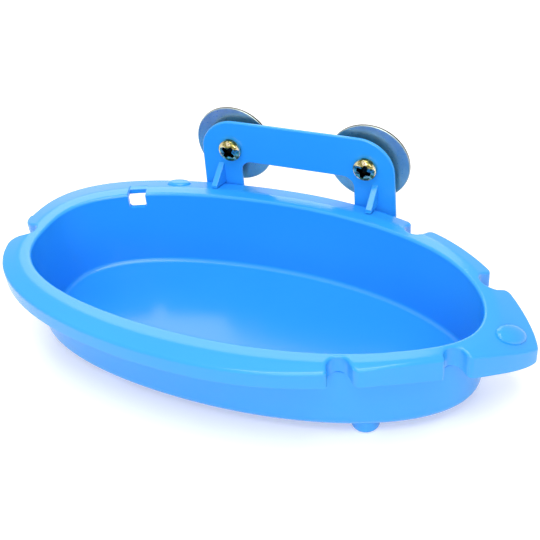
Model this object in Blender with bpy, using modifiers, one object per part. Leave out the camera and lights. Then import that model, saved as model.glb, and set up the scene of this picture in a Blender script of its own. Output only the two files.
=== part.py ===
# Cage bird bath: a boat-shaped tub with a turned-down rim, and a plate behind it
# whose two screws draw metal discs against the wires of a cage.
# Lengths are in metres. Working coordinates have their origin at the basin's widest
# place, on the plane of the rim's top; the root empty then sets the part on its feet.
import math

import bmesh
import bpy
from mathutils import Matrix, Vector

CLEARANCE = 0.0003

# Basin, measured from its widest place
BASIN_LEFT = 0.0902
BASIN_RIGHT = 0.0938
BASIN_HALF_BACK = 0.0435
BASIN_HALF_FRONT = 0.0412
BASIN_DEPTH = 0.0354
BASIN_DRAFT = 0.0012
BASIN_BLUNT_BACK = 0.71
BASIN_BLUNT_FRONT = 0.77
BASIN_POINT_BACK = 1.0
BASIN_POINT_FRONT = 0.96
FLOOR_FILLET = 0.003
WALL = 0.0022

# Rim: a flat band, then a slope down to the skirt
RIM_FLAT = 0.0055
RIM_FRONT = 0.0124
RIM_BACK = 0.014
RIM_LEFT = 0.0132
RIM_SPOUT = 0.0202
RIM_SHIFT = 0.00195
RIM_SLOPE = 0.3
RIM_EDGE = 0.0011
RIM_BLUNT_BACK = 0.54
RIM_BLUNT_FRONT = 0.8
RIM_POINT_BACK = 1.42
RIM_POINT_FRONT = 1.6
SKIRT_HEIGHT = 0.0068
SKIRT_RISE_BACK = 0.0018
SPOUT_LENGTH = 0.048
SPOUT_DROP = 0.010

# Notches in the rim, by their angle round it from the widest place
NOTCH_ANGLES_BACK = (31.4, 56.4)
NOTCH_ANGLES_FRONT = (-89.0, 28.3, 53.4)
NOTCH_WIDTH_FRONT = 0.0105
NOTCH_WIDTH_BACK = 0.0082
NOTCH_LIP = 0.004
NOTCH_MOUTH = 0.0016

# Window in the back wall, with a shallow step in the rim above it
WINDOW_ANGLE = -45.2
WINDOW_WIDTH = 0.0075
WINDOW_DEPTH = 0.0068
WINDOW_REACH = 0.0052
WINDOW_RADIUS = 0.0014
STEP_DEPTH = 0.0008
STEP_WIDTH = 0.0081
STEP_REACH = 0.0078

# Oval domes on the rim
DOME_BACK_LENGTH = 0.0106
DOME_BACK_WIDTH = 0.0074
DOME_SPOUT_LENGTH = 0.0136
DOME_SPOUT_WIDTH = 0.0092
DOME_HEIGHT = 0.0015
DOME_BACK_ANGLE = -30.5
DOME_BACK_INSET = 0.0048
DOME_SPOUT_INSET = 0.0114

# Feet under the floor
FOOT_DIAMETER = 0.0109
FOOT_HEIGHT = 0.0048
FOOT_RIGHT = 0.0577
FOOT_LEFT = 0.047
FOOT_SPREAD = 0.0267

# Hanger plate
PLATE_THICKNESS = 0.0038
PLATE_CENTRE = 0.0028
PLATE_HEIGHT = 0.0272
LEG_OUTER = 0.0436
LEG_INNER = 0.0254
LEG_TAPER = 0.0011
LEG_DROP = 0.0072
ARCH_HEIGHT = 0.0091
ARCH_RADIUS = 0.005
PLATE_RADIUS = 0.0155
GUSSET_WIDTH = 0.0028
GUSSET_REACH = 0.0098
GUSSET_HEIGHT = 0.0072
GUSSET_NOSE = 0.0012
GUSSET_OFFSET = 0.0009
PEG_DIAMETER = 0.002
PEG_LENGTH = 0.0022

# Clamp: a screw, a disc and a nut on each side
SCREW_SPACING = 0.0602
SCREW_HEIGHT = 0.0148
SCREW_DIAMETER = 0.005
SCREW_LENGTH = 0.020
HEAD_DIAMETER = 0.010
HEAD_HEIGHT = 0.0032
HEAD_SIDE = 0.0013
DISC_DIAMETER = 0.035
DISC_THICKNESS = 0.0012
NUT_ACROSS_FLATS = 0.008
NUT_THICKNESS = 0.004

RIM_STATIONS = 56
ARC_STEPS = 4
ROUND_SEGMENTS = 40
UNION_BITE = 0.0006
MERGE_DISTANCE = 0.00001
PROBE_ANGLE = 0.01
HALVINGS = 30
SHARP_ANGLE = math.radians(35)

PLASTIC_BLUE = (0.035, 0.33, 0.95)
ZINC = (0.62, 0.66, 0.70)
YELLOW_ZINC = (0.80, 0.66, 0.28)

BACK = 1
FRONT = -1

# Places worked out from the sizes above
BASIN_BOTTOM = -BASIN_DEPTH - WALL
FEET_BOTTOM = BASIN_BOTTOM - FOOT_HEIGHT
RIM_HALF_BACK = BASIN_HALF_BACK + RIM_BACK
RIM_HALF_FRONT = BASIN_HALF_FRONT + RIM_FRONT
BORE_DIAMETER = SCREW_DIAMETER + 2 * CLEARANCE
TALL = 4 * (BASIN_DEPTH + PLATE_HEIGHT)


def leaf(angle, side, reaches, half_width, blunt, point, shift=0.0):
    # An oval blunt on the left and pointed on the right: a power of the cosine shapes each end.
    run = math.sin(angle)
    reach, power = (reaches[0], blunt) if run < 0 else (reaches[1], point)
    spread = half_width * max(math.cos(angle), 0.0) ** power
    return Vector((run * reach, shift + side * spread, 0.0))


def basin_curve(angle, side, grow=0.0):
    reaches = (BASIN_LEFT + grow, BASIN_RIGHT + grow)
    if side == BACK:
        return leaf(angle, side, reaches, BASIN_HALF_BACK + grow, BASIN_BLUNT_BACK, BASIN_POINT_BACK)
    return leaf(angle, side, reaches, BASIN_HALF_FRONT + grow, BASIN_BLUNT_FRONT, BASIN_POINT_FRONT)


def rim_curve(angle, side, grow=0.0):
    reaches = (BASIN_LEFT + RIM_LEFT + grow, BASIN_RIGHT + RIM_SPOUT + grow)
    if side == BACK:
        half_width = RIM_HALF_BACK - RIM_SHIFT + grow
        return leaf(angle, side, reaches, half_width, RIM_BLUNT_BACK, RIM_POINT_BACK, RIM_SHIFT)
    half_width = RIM_HALF_FRONT + RIM_SHIFT + grow
    return leaf(angle, side, reaches, half_width, RIM_BLUNT_FRONT, RIM_POINT_FRONT, RIM_SHIFT)


def spout_dip(x):
    # The rim falls away towards the pointed end.
    start = BASIN_RIGHT + RIM_SPOUT - SPOUT_LENGTH
    return -SPOUT_DROP * max((x - start) / SPOUT_LENGTH, 0.0) ** 2


def slope_drop(angle, side, grow=0.0):
    across = rim_curve(angle, side, grow) - basin_curve(angle, side, RIM_FLAT)
    return RIM_SLOPE * across.length


def at_height(point, height):
    return Vector((point.x, point.y, height + spout_dip(point.x)))


def skirt_edge(angle, side):
    # The skirt is lower along the front than along the back.
    rise = SKIRT_RISE_BACK * math.cos(angle) if side == BACK else 0.0
    return rise - slope_drop(angle, side) - SKIRT_HEIGHT


def quarter_steps():
    return [math.pi / 2 * step / ARC_STEPS for step in range(ARC_STEPS + 1)]


def tub_section(angle, side):
    # From the middle of the floor outwards, over the rim, and back under the floor.
    section = []
    for turn in quarter_steps():
        ring = basin_curve(angle, side, -BASIN_DRAFT - FLOOR_FILLET * (1 - math.sin(turn)))
        section.append(ring + Vector((0, 0, -BASIN_DEPTH + FLOOR_FILLET * (1 - math.cos(turn)))))
    for turn in quarter_steps():
        ring = basin_curve(angle, side, RIM_EDGE * (1 - math.cos(turn)))
        section.append(at_height(ring, -RIM_EDGE * (1 - math.sin(turn))))
    section.append(at_height(basin_curve(angle, side, RIM_FLAT), 0.0))
    for turn in quarter_steps():
        ring = rim_curve(angle, side, -RIM_EDGE * (1 - math.sin(turn)))
        height = -slope_drop(angle, side, -RIM_EDGE) - RIM_EDGE * (1 - math.cos(turn))
        section.append(at_height(ring, height))
    section.append(at_height(rim_curve(angle, side), skirt_edge(angle, side)))
    section.append(at_height(rim_curve(angle, side, -WALL), skirt_edge(angle, side)))
    section.append(at_height(rim_curve(angle, side, -WALL), -slope_drop(angle, side, -WALL) - WALL))
    section.append(at_height(basin_curve(angle, side, RIM_FLAT), -WALL))
    section.append(at_height(basin_curve(angle, side, WALL), -WALL))
    for turn in reversed(quarter_steps()):
        radius = FLOOR_FILLET + WALL
        ring = basin_curve(angle, side, -BASIN_DRAFT - FLOOR_FILLET + radius * math.sin(turn))
        section.append(ring + Vector((0, 0, -BASIN_DEPTH + FLOOR_FILLET - radius * math.cos(turn))))
    return section


def channel_section(angle, side):
    # The hollow under the rim, taken slightly into the wall, the rim and the skirt.
    inner = basin_curve(angle, side, WALL - UNION_BITE)
    outer = rim_curve(angle, side, UNION_BITE - WALL)
    low = skirt_edge(angle, side) + CLEARANCE
    roof = -WALL + UNION_BITE
    return [
        at_height(inner, low),
        at_height(inner, roof),
        at_height(basin_curve(angle, side, RIM_FLAT), roof),
        at_height(outer, roof - slope_drop(angle, side, UNION_BITE - WALL)),
        at_height(outer, low),
    ]


def stations():
    # Once round the rim: along the back to the spout, then along the front.
    step = math.pi / RIM_STATIONS
    angles = [step * index - math.pi / 2 for index in range(RIM_STATIONS + 1)]
    return [(angle, BACK) for angle in angles] + [(angle, FRONT) for angle in angles[-2:0:-1]]


def loft_ring(name, section_at, closed, collection):
    # Joins the sections round the rim; an open section is capped at both its ends.
    mesh_data = bmesh.new()
    rows = []
    for angle, side in stations():
        rows.append([mesh_data.verts.new(point) for point in section_at(angle, side)])
    count = len(rows[0])
    for index, row in enumerate(rows):
        after = rows[(index + 1) % len(rows)]
        for step in range(count if closed else count - 1):
            along = (step + 1) % count
            mesh_data.faces.new((row[step], row[along], after[along], after[step]))
    if not closed:
        mesh_data.faces.new([row[0] for row in rows])
        mesh_data.faces.new([row[-1] for row in rows])
    bmesh.ops.triangulate(mesh_data, faces=mesh_data.faces)
    return finish_mesh(name, mesh_data, collection)


def finish_mesh(name, mesh_data, collection):
    bmesh.ops.recalc_face_normals(mesh_data, faces=mesh_data.faces)
    mesh = bpy.data.meshes.new(name)
    mesh_data.to_mesh(mesh)
    mesh_data.free()
    item = bpy.data.objects.new(name, mesh)
    collection.objects.link(item)
    return item


def flat_solid(name, outlines, thickness, collection):
    # Extrudes closed outlines along local Z, centred on the XY plane.
    curve = bpy.data.curves.new(name + "_outline", "CURVE")
    curve.dimensions = "2D"
    curve.fill_mode = "BOTH"
    curve.extrude = thickness / 2
    for outline in outlines:
        spline = curve.splines.new("POLY")
        spline.points.add(len(outline) - 1)
        for point, place in zip(spline.points, outline):
            point.co = (place[0], place[1], 0.0, 1.0)
        spline.use_cyclic_u = True
    source = bpy.data.objects.new(name + "_outline", curve)
    collection.objects.link(source)
    bpy.context.view_layer.update()
    evaluated = source.evaluated_get(bpy.context.evaluated_depsgraph_get())
    mesh_data = bmesh.new()
    mesh_data.from_mesh(bpy.data.meshes.new_from_object(evaluated))
    bmesh.ops.remove_doubles(mesh_data, verts=mesh_data.verts, dist=MERGE_DISTANCE)
    bpy.data.objects.remove(source)
    return finish_mesh(name, mesh_data, collection)


def turned(name, profile, collection):
    # Turns a profile of (radius, height) about local Z.
    mesh = bpy.data.meshes.new(name)
    points = [(radius, 0.0, height) for radius, height in profile]
    edges = [(index, index + 1) for index in range(len(points) - 1)]
    if profile[0][0] > 0:
        edges.append((len(points) - 1, 0))
    mesh.from_pydata(points, edges, [])
    item = bpy.data.objects.new(name, mesh)
    collection.objects.link(item)
    spin = item.modifiers.new("Turn", "SCREW")
    spin.steps = ROUND_SEGMENTS
    spin.render_steps = ROUND_SEGMENTS
    spin.use_merge_vertices = True
    spin.merge_threshold = MERGE_DISTANCE
    return item


def cylinder(name, diameter, length, place, collection, axis="Z"):
    mesh_data = bmesh.new()
    bmesh.ops.create_cone(
        mesh_data,
        cap_ends=True,
        segments=ROUND_SEGMENTS // 2,
        radius1=diameter / 2,
        radius2=diameter / 2,
        depth=length,
    )
    item = finish_mesh(name, mesh_data, collection)
    item.location = place
    if axis == "Y":
        item.rotation_euler.x = math.pi / 2
    return item


def box(name, size, collection):
    mesh_data = bmesh.new()
    bmesh.ops.create_cube(mesh_data, size=1.0, matrix=Matrix.Diagonal((*size, 1.0)))
    return finish_mesh(name, mesh_data, collection)


def combine(item, other, operation):
    step = item.modifiers.new(operation.title(), "BOOLEAN")
    step.operation = operation
    step.object = other
    step.solver = "EXACT"


def rounded(corners):
    # Closed outline from (x, y, radius) corners, each with its fillet arc.
    outline = []
    for index, (x, y, radius) in enumerate(corners):
        here = Vector((x, y))
        before = (Vector(corners[index - 1][:2]) - here).normalized()
        after = (Vector(corners[(index + 1) % len(corners)][:2]) - here).normalized()
        if radius == 0:
            outline.append(here)
            continue
        half = before.angle(after) / 2
        centre = here + (before + after).normalized() * radius / math.sin(half)
        start = here + before * radius / math.tan(half) - centre
        sweep = start.angle_signed(here + after * radius / math.tan(half) - centre)
        for step in range(2 * ARC_STEPS + 1):
            outline.append(centre + Matrix.Rotation(-sweep * step / (2 * ARC_STEPS), 2) @ start)
    return outline


def inward(angle, side):
    # Unit vector across the rim's edge, pointing into the tub.
    ahead = rim_curve(angle + PROBE_ANGLE, side) - rim_curve(angle - PROBE_ANGLE, side)
    return Vector((ahead.y, -ahead.x, 0.0)).normalized() * side


def inside_basin(point, side, grow):
    reach = (BASIN_LEFT if point.x < 0 else BASIN_RIGHT) + grow
    if abs(point.x) >= reach:
        return False
    edge = basin_curve(math.asin(point.x / reach), side, grow)
    return point.y * side < edge.y * side


def depth_to_lip(edge, across, side):
    # How far in from the rim's edge the lip beside the basin starts.
    outside, inside = 0.0, BASIN_HALF_FRONT
    for _ in range(HALVINGS):
        middle = (outside + inside) / 2
        if inside_basin(edge + across * middle, side, NOTCH_LIP):
            inside = middle
        else:
            outside = middle
    return outside


def notch_outline(angle, side, grow):
    # A round-ended slot from outside the skirt to the rim's inner lip, with a flared mouth.
    edge = rim_curve(angle, side)
    across = inward(angle, side)
    along = Vector((-across.y, across.x, 0.0))
    half = (NOTCH_WIDTH_BACK if side == BACK else NOTCH_WIDTH_FRONT) / 2 + grow
    flare = max(NOTCH_MOUTH - grow, 0.0)
    depth = depth_to_lip(edge, across, side) + grow
    local = [(half + flare, -RIM_BACK), (half + flare, 0.0)]
    for turn in quarter_steps():
        local.append((half + flare * (1 - math.sin(turn)), flare * (1 - math.cos(turn))))
    for turn in quarter_steps():
        local.append((half * math.cos(turn), depth - half * (1 - math.sin(turn))))
    mirrored = [(-x, y) for x, y in reversed(local[:-1])]
    return [edge + along * x + across * y for x, y in local + mirrored]


def make_material(name, colour, roughness, metallic):
    material = bpy.data.materials.new(name)
    material.use_nodes = True
    shader = material.node_tree.nodes["Principled BSDF"]
    shader.inputs["Base Color"].default_value = (*colour, 1.0)
    shader.inputs["Roughness"].default_value = roughness
    shader.inputs["Metallic"].default_value = metallic
    return material


def finish_part(item, material, root, location=(0, 0, 0)):
    item.data.materials.append(material)
    item.parent = root
    item.location = location


def on_rim_slope(angle, side, inset):
    # A point on the rim's slope, this far in from the rim's edge.
    start = basin_curve(angle, side, RIM_FLAT)
    edge = rim_curve(angle, side)
    point = edge + (start - edge).normalized() * inset
    return at_height(point, -RIM_SLOPE * (point - start).length)


def make_tub(parts, cutters, root):
    tub = loft_ring("bath_tub", tub_section, False, parts)
    spots = [(math.radians(angle), BACK) for angle in NOTCH_ANGLES_BACK]
    spots += [(math.radians(angle), FRONT) for angle in NOTCH_ANGLES_FRONT]
    plugs = loft_ring("notch_walls", channel_section, True, cutters)
    thick = flat_solid("notch_wall_limits", [notch_outline(*spot, WALL) for spot in spots], TALL, cutters)
    notches = flat_solid("notch_cutters", [notch_outline(*spot, 0.0) for spot in spots], TALL, cutters)
    combine(plugs, thick, "INTERSECT")
    combine(tub, plugs, "UNION")
    combine(tub, notches, "DIFFERENCE")
    for cutter in (plugs, thick, notches):
        cutter.parent = root
    for extra in rim_domes(cutters) + feet(cutters):
        extra.parent = root
        combine(tub, extra, "UNION")
    for hole in peg_cylinders("peg_hole", PEG_DIAMETER + 2 * CLEARANCE, cutters):
        hole.parent = root
        combine(tub, hole, "DIFFERENCE")
    for cutter in window_cutters(cutters):
        cutter.parent = root
        combine(tub, cutter, "DIFFERENCE")
    finish_part(tub, make_material("blue_plastic_tub", PLASTIC_BLUE, 0.22, 0.0), root)
    return tub


def window_cutters(cutters):
    angle = math.radians(WINDOW_ANGLE)
    edge = basin_curve(angle, BACK)
    across = inward(angle, BACK)
    turn = math.atan2(across.y, across.x) + math.pi / 2
    half = WINDOW_WIDTH / 2
    outline = rounded([
        (-half, -WINDOW_DEPTH, WINDOW_RADIUS),
        (half, -WINDOW_DEPTH, WINDOW_RADIUS),
        (half, WINDOW_DEPTH, 0),
        (-half, WINDOW_DEPTH, 0),
    ])
    opening = flat_solid("window_cutter", [outline], 2 * WINDOW_REACH, cutters)
    opening.rotation_euler = (math.pi / 2, 0.0, turn)
    opening.location = edge
    step = box("step_cutter", (STEP_WIDTH, 2 * STEP_REACH, 2 * STEP_DEPTH), cutters)
    step.rotation_euler.z = turn
    step.location = edge
    return [opening, step]


def rim_domes(cutters):
    back = on_rim_slope(math.radians(DOME_BACK_ANGLE), BACK, DOME_BACK_INSET)
    spout = on_rim_slope(math.pi / 2, BACK, DOME_SPOUT_INSET)
    places = (
        ("back_dome", back, DOME_BACK_LENGTH, DOME_BACK_WIDTH),
        ("spout_dome", spout, DOME_SPOUT_LENGTH, DOME_SPOUT_WIDTH),
    )
    domes = []
    for name, place, length, width in places:
        mesh_data = bmesh.new()
        bmesh.ops.create_uvsphere(
            mesh_data,
            u_segments=ROUND_SEGMENTS // 2,
            v_segments=ROUND_SEGMENTS // 4,
            radius=1.0,
        )
        size = Matrix.Diagonal((length / 2, width / 2, DOME_HEIGHT, 1.0))
        bmesh.ops.transform(mesh_data, matrix=size, verts=mesh_data.verts)
        dome = finish_mesh(name, mesh_data, cutters)
        dome.location = place
        dome.rotation_euler.y = rim_pitch(place.x)
        domes.append(dome)
    return domes


def rim_pitch(x):
    # How far the rim tips down along X at this place.
    return math.atan2(spout_dip(x - CLEARANCE) - spout_dip(x + CLEARANCE), 2 * CLEARANCE)


def feet(cutters):
    made = []
    length = FOOT_HEIGHT + WALL - UNION_BITE
    middle = FEET_BOTTOM + length / 2
    for x, label in ((-FOOT_LEFT, "left"), (FOOT_RIGHT, "right")):
        for side, depth_label in ((FRONT, "front"), (BACK, "back")):
            place = (x, side * FOOT_SPREAD, middle)
            made.append(cylinder(f"{depth_label}_{label}_foot", FOOT_DIAMETER, length, place, cutters))
    return made


def rim_angle_at(x):
    reach = BASIN_LEFT + RIM_LEFT if x < 0 else BASIN_RIGHT + RIM_SPOUT
    return math.asin(x / reach)


def leg_middle(hand):
    return PLATE_CENTRE + hand * ((LEG_OUTER + LEG_INNER) / 2 - GUSSET_OFFSET)


def plate_front():
    # The legs hang just behind the skirt where the rim reaches furthest back beside them.
    reaches = [rim_curve(rim_angle_at(PLATE_CENTRE + hand * LEG_INNER), BACK).y for hand in (-1, 1)]
    return max(reaches) + CLEARANCE


def peg_place(hand):
    # Under the gusset, a peg's width behind its nose.
    return Vector((leg_middle(hand), plate_front() - GUSSET_REACH + PEG_DIAMETER, 0.0))


def peg_cylinders(name, diameter, cutters):
    length = PEG_LENGTH + WALL + 2 * CLEARANCE + GUSSET_NOSE / 2
    made = []
    for hand in (-1, 1):
        top = Vector((0, 0, GUSSET_NOSE / 2 + 2 * CLEARANCE - length / 2))
        made.append(cylinder(f"{name}_{hand + 1}", diameter, length, peg_place(hand) + top, cutters))
    return made


def make_bracket(parts, cutters, root):
    front = plate_front()
    corners = [
        (-LEG_OUTER, -LEG_DROP, 0),
        (-LEG_INNER, -LEG_DROP, 0),
        (-LEG_INNER, ARCH_HEIGHT, ARCH_RADIUS),
        (LEG_INNER, ARCH_HEIGHT, ARCH_RADIUS),
        (LEG_INNER, -LEG_DROP, 0),
        (LEG_OUTER, -LEG_DROP, 0),
        (LEG_OUTER - LEG_TAPER, PLATE_HEIGHT, PLATE_RADIUS),
        (LEG_TAPER - LEG_OUTER, PLATE_HEIGHT, PLATE_RADIUS),
    ]
    bracket = flat_solid("hanger_bracket", [rounded(corners)], PLATE_THICKNESS, parts)
    bracket.rotation_euler.x = math.pi / 2
    for hand in (-1, 1):
        gusset = make_gusset(hand, front, cutters)
        gusset.parent = root
        combine(bracket, gusset, "UNION")
    for peg in peg_cylinders("peg", PEG_DIAMETER, cutters):
        peg.parent = root
        combine(bracket, peg, "UNION")
    for hand in (-1, 1):
        place = (PLATE_CENTRE + hand * SCREW_SPACING / 2, front, SCREW_HEIGHT)
        bore = cylinder(f"screw_bore_{hand + 1}", BORE_DIAMETER, 4 * PLATE_THICKNESS, place, cutters, "Y")
        bore.parent = root
        combine(bracket, bore, "DIFFERENCE")
    middle = (PLATE_CENTRE, front + PLATE_THICKNESS / 2, 0)
    finish_part(bracket, make_material("blue_plastic_plate", PLASTIC_BLUE, 0.25, 0.0), root, middle)
    return bracket


def make_gusset(hand, front, cutters):
    # A rib from the leg's face down to the rim, its underside clear of the rim's slope.
    x = leg_middle(hand)
    angle = rim_angle_at(x)
    flat_edge = basin_curve(angle, BACK, RIM_FLAT).y
    rim_edge = rim_curve(angle, BACK).y
    gap = 2 * CLEARANCE
    fall = RIM_SLOPE * (rim_edge - flat_edge)
    root_y = front + PLATE_THICKNESS / 2
    nose_y = front - GUSSET_REACH
    outline = [
        (nose_y, gap),
        (flat_edge, gap),
        (rim_edge, gap - fall),
        (root_y, gap - fall),
        (root_y, GUSSET_HEIGHT),
        (front, GUSSET_HEIGHT),
        (nose_y, GUSSET_NOSE),
    ]
    gusset = flat_solid(f"gusset_{hand + 1}", [outline], GUSSET_WIDTH, cutters)
    gusset.matrix_local = Matrix(((0, 0, 1, x), (1, 0, 0, 0), (0, 1, 0, 0), (0, 0, 0, 1)))
    return gusset


def make_clamp(label, hand, parts, root):
    # Local Z of each turned piece points from the screw's head to its tip.
    axis_x = PLATE_CENTRE + hand * SCREW_SPACING / 2
    seat = plate_front() - CLEARANCE
    disc_front = plate_front() + PLATE_THICKNESS + CLEARANCE
    nut_front = disc_front + DISC_THICKNESS + CLEARANCE
    zinc = make_material(f"zinc_{label}_disc", ZINC, 0.12, 1.0)
    gold = make_material(f"yellow_zinc_{label}_screw", YELLOW_ZINC, 0.18, 1.0)
    steel = make_material(f"zinc_{label}_nut", ZINC, 0.3, 1.0)
    crown = HEAD_HEIGHT - HEAD_SIDE
    dome = [
        (HEAD_DIAMETER / 2 * math.sin(turn), -HEAD_SIDE - crown * math.cos(turn))
        for turn in quarter_steps()
    ]
    shank = SCREW_DIAMETER / 2
    profile = dome + [(HEAD_DIAMETER / 2, 0.0), (shank, 0.0), (shank, SCREW_LENGTH), (0.0, SCREW_LENGTH)]
    screw = turned(f"{label}_screw", profile[::-1], parts)
    ring = [
        (DISC_DIAMETER / 2, DISC_THICKNESS),
        (DISC_DIAMETER / 2, 0.0),
        (BORE_DIAMETER / 2, 0.0),
        (BORE_DIAMETER / 2, DISC_THICKNESS),
    ]
    disc = turned(f"{label}_clamp_disc", ring, parts)
    hexagon = circle_points(NUT_ACROSS_FLATS / math.sqrt(3), 6)
    bore = circle_points(BORE_DIAMETER / 2, ROUND_SEGMENTS // 2)
    nut = flat_solid(f"{label}_nut", [hexagon, bore], NUT_THICKNESS, parts)
    nut.data.transform(Matrix.Translation((0, 0, NUT_THICKNESS / 2)))
    for item, place, material in ((screw, seat, gold), (disc, disc_front, zinc), (nut, nut_front, steel)):
        item.rotation_euler.x = -math.pi / 2
        finish_part(item, material, root, (axis_x, place, SCREW_HEIGHT))


def circle_points(radius, count):
    turns = [2 * math.pi * index / count for index in range(count)]
    return [Vector((radius * math.cos(turn), radius * math.sin(turn))) for turn in turns]


def new_collection(name):
    collection = bpy.data.collections.new(name)
    bpy.context.scene.collection.children.link(collection)
    return collection


def main():
    for item in list(bpy.data.objects):
        bpy.data.objects.remove(item)
    parts = new_collection("cage_bird_bath")
    cutters = new_collection("bath_cutters")
    front = rim_curve(0.0, FRONT).y
    back = plate_front() - CLEARANCE + SCREW_LENGTH
    root = bpy.data.objects.new("bath_root", None)
    root.location = (
        (BASIN_LEFT + RIM_LEFT - BASIN_RIGHT - RIM_SPOUT) / 2,
        -(front + back) / 2,
        -FEET_BOTTOM,
    )
    parts.objects.link(root)
    make_tub(parts, cutters, root)
    make_bracket(parts, cutters, root)
    make_clamp("left", -1, parts, root)
    make_clamp("right", 1, parts, root)
    for cutter in cutters.objects:
        cutter.hide_render = True
        cutter.display_type = "WIRE"
    for item in parts.objects:
        if item.type == "MESH":
            item.data.shade_smooth()
            item.data.set_sharp_from_angle(angle=SHARP_ANGLE)


main()
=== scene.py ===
import math

import bmesh
import bpy
import numpy as np
from mathutils import Matrix, Vector


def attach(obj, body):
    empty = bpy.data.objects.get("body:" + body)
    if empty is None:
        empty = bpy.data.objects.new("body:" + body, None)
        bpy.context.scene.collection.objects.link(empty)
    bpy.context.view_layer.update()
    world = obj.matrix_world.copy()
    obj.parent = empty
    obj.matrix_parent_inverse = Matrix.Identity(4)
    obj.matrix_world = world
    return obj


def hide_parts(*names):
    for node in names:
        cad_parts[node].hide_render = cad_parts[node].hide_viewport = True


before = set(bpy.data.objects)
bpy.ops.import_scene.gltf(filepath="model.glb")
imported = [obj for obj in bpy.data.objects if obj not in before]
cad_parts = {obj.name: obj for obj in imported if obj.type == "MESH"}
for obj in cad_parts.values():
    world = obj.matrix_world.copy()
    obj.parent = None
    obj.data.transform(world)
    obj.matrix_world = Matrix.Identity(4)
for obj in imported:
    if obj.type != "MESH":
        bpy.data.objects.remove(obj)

scene = bpy.context.scene
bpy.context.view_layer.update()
print("frame loaded:", len(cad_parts), "nodes")


# camera at the photograph's viewing angle
cameraSettings = {
    "place": (0.13135, -0.27783, 0.27648),
    "right": (0.92760, 0.36523, -0.07857),
    "up": (-0.17123, 0.60256, 0.77948),
    "lens": 65.29,
    "sensor": 36.0,
    "clip": (0.01, 20.0),
}


def makeCamera(s):
    data = bpy.data.cameras.new("bathCamera")
    data.sensor_fit = "HORIZONTAL"
    data.sensor_width = s["sensor"]
    data.lens = s["lens"]
    data.clip_start, data.clip_end = s["clip"]
    camera = bpy.data.objects.new("bathCamera", data)
    right = Vector(s["right"]).normalized()
    up = Vector(s["up"])
    up = (up - right * up.dot(right)).normalized()
    turn = Matrix((right, up, right.cross(up))).transposed().to_4x4()
    camera.matrix_world = Matrix.Translation(s["place"]) @ turn
    scene.collection.objects.link(camera)
    scene.camera = camera


makeCamera(cameraSettings)
print("camera placed")


# mesh helpers
meshSettings = {
    "weld": 0.000004,  # points nearer than this become one
    "flatAngle": 0.4,  # degrees; faces that turn less are merged
    "bevelSteps": 3,
}
upright = Matrix.Rotation(math.pi / 2, 4, "X")  # stands a flat outline on its lower edge


def weldMesh(mesh, dropThin):
    # one vertex where points meet, no faces without area, and every face pointing out
    work = bmesh.new()
    work.from_mesh(mesh)
    bmesh.ops.remove_doubles(work, verts=work.verts, dist=meshSettings["weld"])
    if dropThin:
        bmesh.ops.dissolve_degenerate(work, edges=work.edges, dist=meshSettings["weld"])
    bmesh.ops.recalc_face_normals(work, faces=work.faces)
    work.to_mesh(mesh)
    work.free()


def meshFromGrid(name, rows, capped):
    # rows[j][k]: ring j, station k; rings close round, and the end rings are capped where asked
    rings, count = rows.shape[:2]
    index = np.arange(rings * count).reshape(rings, count)
    nextIndex = np.roll(index, -1, axis=1)
    faces = np.stack([index[:-1], index[1:], nextIndex[1:], nextIndex[:-1]], axis=-1)
    faces = faces.reshape(-1, 4).tolist()
    if capped:
        faces += [index[0].tolist(), index[-1][::-1].tolist()]
    mesh = bpy.data.meshes.new(name)
    mesh.from_pydata(rows.reshape(-1, 3).tolist(), [], faces)
    weldMesh(mesh, True)
    return mesh


def addObject(name, mesh):
    item = bpy.data.objects.new(name, mesh)
    scene.collection.objects.link(item)
    return item


def placedTool(mesh, matrix, operation):
    item = addObject(mesh.name, mesh)
    item.matrix_world = matrix
    return item, operation


def combine(item, others):
    # others: list of (object, operation); the result is applied and the tools are removed
    for other, operation in others:
        step = item.modifiers.new(operation, "BOOLEAN")
        step.operation = operation
        step.object = other
        step.solver = "EXACT"
    bpy.context.view_layer.update()
    done = item.evaluated_get(bpy.context.evaluated_depsgraph_get())
    mesh = bpy.data.meshes.new_from_object(done)
    item.modifiers.clear()
    item.data = mesh
    for other, _ in others:
        bpy.data.objects.remove(other)


def mergeFlat(mesh):
    work = bmesh.new()
    work.from_mesh(mesh)
    limit = math.radians(meshSettings["flatAngle"])
    bmesh.ops.dissolve_limit(work, angle_limit=limit, verts=work.verts, edges=work.edges)
    work.to_mesh(mesh)
    work.free()


def smoothFaces(item, angle):
    item.data.shade_smooth()
    item.data.set_sharp_from_angle(angle=math.radians(angle))
    weights = item.modifiers.new("weightedNormals", "WEIGHTED_NORMAL")
    weights.keep_sharp = True
    weights.mode = "FACE_AREA_WITH_ANGLE"


def flatFaces(item, angle, area):
    # broad faces stay flat, and the narrow ones between them are smooth
    item.data.shade_smooth()
    item.data.set_sharp_from_angle(angle=math.radians(angle))
    item.data.polygons.foreach_set("use_smooth", [face.area < area for face in item.data.polygons])


def circle(turns):
    return np.stack([np.cos(turns), np.sin(turns)], axis=-1)


def ringAt(plan, height):
    return np.column_stack([plan, np.broadcast_to(height, plan.shape[:1])])


def turnedMesh(name, profile, segments):
    # profile of (radius, height) about Z, which ends at a radius of 0 or where it starts
    around = circle(np.linspace(0, 2 * math.pi, segments, endpoint=False))
    rows = [ringAt(np.reshape(radius, (-1, 1)) * around, height) for radius, height in profile]
    return meshFromGrid(name, np.array(rows), False)


def pinMesh(name, radius, low, high, segments):
    return turnedMesh(name, [(0.0, low), (radius, low), (radius, high), (0.0, high)], segments)


def arc(radius, start, end, steps):
    # points of an arc as (cos, sin) pairs scaled by the radius, angles in degrees
    turns = np.radians(np.linspace(start, end, steps + 1))
    return [(radius * math.cos(t), radius * math.sin(t)) for t in turns]


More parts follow.
